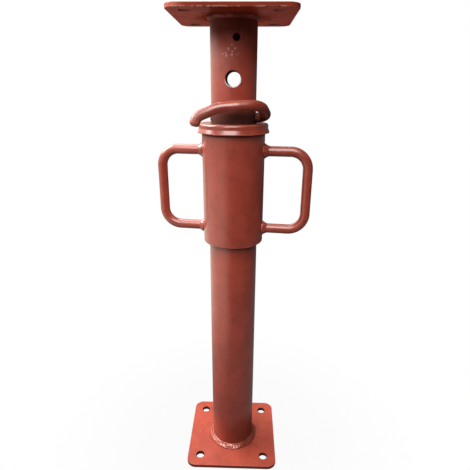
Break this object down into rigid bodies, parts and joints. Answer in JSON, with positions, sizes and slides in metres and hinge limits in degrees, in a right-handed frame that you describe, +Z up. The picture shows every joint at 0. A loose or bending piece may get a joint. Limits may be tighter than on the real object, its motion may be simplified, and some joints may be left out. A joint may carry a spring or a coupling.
{
  "type": "adjustable steel prop",
  "caption": "Short telescopic steel prop: outer and inner tubes with square end plates, a sleeve nut with bar handles for fine height and a bent pin that locks the inner tube on a collar.",
  "frame": {"origin": "centre of the base plate's underside", "axes": "+Z up along the tubes, -Y towards the front with the empty pin hole, +X the way the pin pulls out"},
  "size_m": [0.1746, 0.12, 0.542],
  "materials": {
    "red_oxide_paint": "semi-gloss red oxide primer",
    "worn_red_paint": "semi-gloss red oxide primer, rubbed",
    "bare_steel": "oiled"
  },
  "bodies": {
    "lower_frame": {"base_plate": "red_oxide_paint", "outer_tube": "red_oxide_paint", "base_weld": "red_oxide_paint"},
    "collar": {"thrust_collar": "red_oxide_paint"},
    "sleeve_nut": {"sleeve": "red_oxide_paint", "nut_ring": "bare_steel", "handle_left": "red_oxide_paint", "handle_right": "red_oxide_paint", "handle_weld_left_top": "red_oxide_paint", "handle_weld_left_bottom": "red_oxide_paint", "handle_weld_right_top": "red_oxide_paint", "handle_weld_right_bottom": "red_oxide_paint"},
    "upper_tube": {"inner_tube": "red_oxide_paint", "stop_ring": "bare_steel", "head_plate": "red_oxide_paint", "head_weld": "red_oxide_paint"},
    "pin": {"lock_pin": "worn_red_paint"}
  },
  "joints": [
    {"name": "screw_lift", "type": "slide", "parent": "lower_frame", "child": "collar", "axis": [0, 0, 1], "range_m": [0, 0.06]},
    {"name": "nut_turn", "type": "hinge", "parent": "collar", "child": "sleeve_nut", "pos_m": [0, 0, 0.3675], "axis": [0, 0, 1], "range_deg": [0, 2700]},
    {"name": "tube_raise", "type": "slide", "parent": "collar", "child": "upper_tube", "axis": [0, 0, 1], "range_m": [0, 0.24]},
    {"name": "pin_pull", "type": "slide", "parent": "upper_tube", "child": "pin", "axis": [1, 0, 0], "range_m": [0, 0.06]}
  ],
  "couplings": [
    {"joint": "screw_lift", "follows": "nut_turn", "m_per_rad": 0.0012732}
  ]
}
